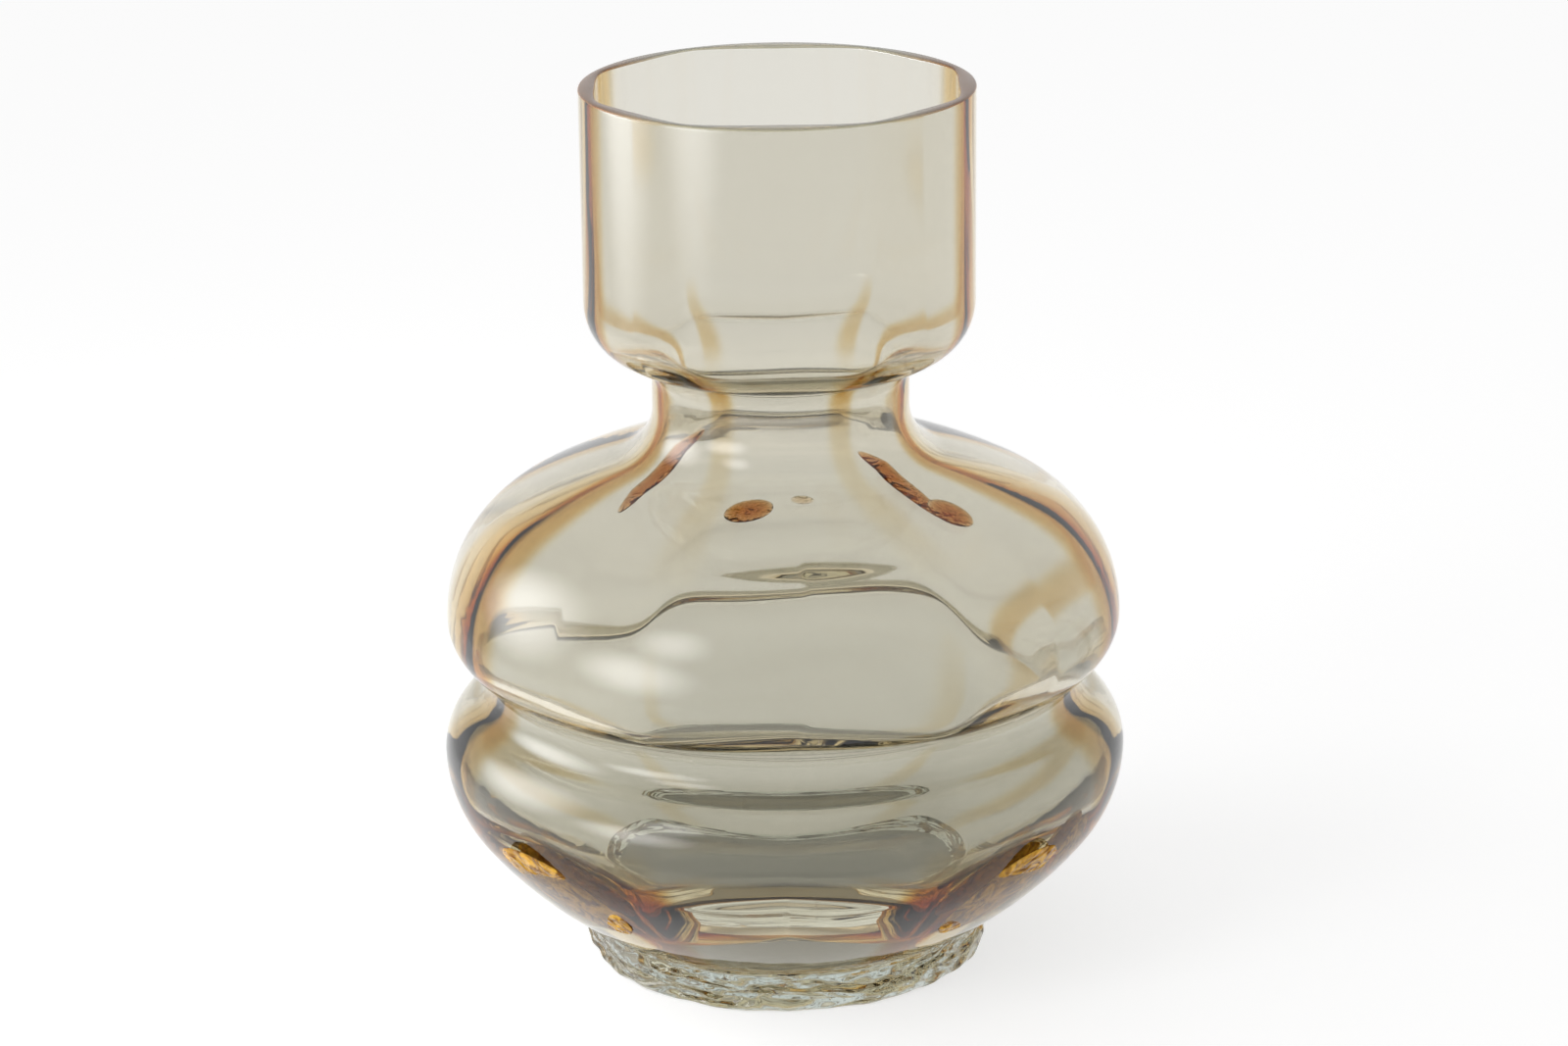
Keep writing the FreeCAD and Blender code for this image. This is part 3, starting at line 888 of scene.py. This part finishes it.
def add_floor():
    mesh = bpy.data.meshes.new("floor")
    reach = FLOOR_REACH
    corners = [(-reach, -reach, 0), (reach, -reach, 0), (reach, reach, 0), (-reach, reach, 0)]
    mesh.from_pydata(corners, [], [(0, 1, 2, 3)])
    mesh.materials.append(floor_white())
    floor = bpy.data.objects.new("floor", mesh)
    floor.location.z = -FLOOR_DROP
    bpy.context.scene.collection.objects.link(floor)


def add_world():
    """A plain studio, white at the horizon and grey above."""
    world = bpy.data.worlds.new("studio")
    bpy.context.scene.world = world
    world.use_nodes = True
    nodes, links = tree(world)
    place = nodes.new("ShaderNodeTexCoord")
    split = nodes.new("ShaderNodeSeparateXYZ")
    ramp = nodes.new("ShaderNodeValToRGB")
    horizon, above = ramp.color_ramp.elements
    horizon.position = 0.10
    horizon.color = (1.0, 1.0, 1.0, 1.0)
    above.position = 0.60
    above.color = (0.53, 0.53, 0.53, 1.0)
    links.new(place.outputs["Generated"], split.inputs["Vector"])
    links.new(split.outputs["Z"], ramp.inputs["Fac"])
    links.new(ramp.outputs["Color"], nodes["Background"].inputs["Color"])
    nodes["Background"].inputs["Strength"].default_value = 1.0


def add_softbox(name, place, target, width, height, power):
    """A rectangular lamp that fades towards its edges."""
    light = bpy.data.lights.new(name, "AREA")
    light.shape = "RECTANGLE"
    light.size = width
    light.size_y = height
    light.energy = power
    light.use_nodes = True
    nodes, links = tree(light)
    place_on_lamp = nodes.new("ShaderNodeNewGeometry")
    from_middle = nodes.new("ShaderNodeVectorMath")
    from_middle.operation = "DISTANCE"
    from_middle.inputs[1].default_value = (0.5, 0.5, 0.0)
    fade = nodes.new("ShaderNodeMapRange")
    fade.interpolation_type = "SMOOTHSTEP"
    fade.inputs["From Min"].default_value = 0.50
    fade.inputs["From Max"].default_value = 0.05
    links.new(place_on_lamp.outputs["Parametric"], from_middle.inputs[0])
    links.new(from_middle.outputs["Value"], fade.inputs["Value"])
    links.new(fade.outputs["Result"], nodes["Emission"].inputs["Strength"])
    lamp = bpy.data.objects.new(name, light)
    lamp.location = place
    lamp.rotation_euler = (Vector(target) - Vector(place)).to_track_quat("-Z", "Y").to_euler()
    # it is a highlight on the glass, not a bright square seen through it from the far side
    lamp.visible_transmission = False
    bpy.context.scene.collection.objects.link(lamp)


def add_camera():
    data = bpy.data.cameras.new("camera")
    data.sensor_width = CAMERA_SENSOR
    data.lens = CAMERA_LENS
    camera = bpy.data.objects.new("camera", data)
    right = Vector((1, 0, 0))
    up = Vector((0, math.sin(CAMERA_DOWN), math.cos(CAMERA_DOWN)))
    backward = Vector((0, -math.cos(CAMERA_DOWN), math.sin(CAMERA_DOWN)))
    level = Matrix((right, up, backward)).transposed().to_4x4()
    lean = Matrix.Rotation(CAMERA_ROLL, 4, "Z")
    camera.matrix_world = Matrix.Translation(CAMERA_PLACE) @ level @ lean
    bpy.context.scene.collection.objects.link(camera)
    bpy.context.scene.camera = camera


add_floor()
add_world()
add_softbox("left_card", (-0.36, 0.02, 0.20), (0, 0, 0.1), width=0.4, height=0.4, power=3.4)
add_softbox("side_card", (-0.40, -0.36, 0.16), (0, 0, 0.12), width=0.5, height=0.34, power=3.4)
add_softbox("key", (-0.9, -1.0, 1.0), (0, 0, 0.1), width=0.9, height=0.9, power=12)
add_camera()

# light crosses many faces of glass, one behind another
scene = bpy.context.scene
scene.cycles.max_bounces = 32
scene.cycles.transmission_bounces = 32
scene.cycles.transparent_max_bounces = 64
scene.cycles.glossy_bounces = 16
scene.view_settings.view_transform = "Standard"
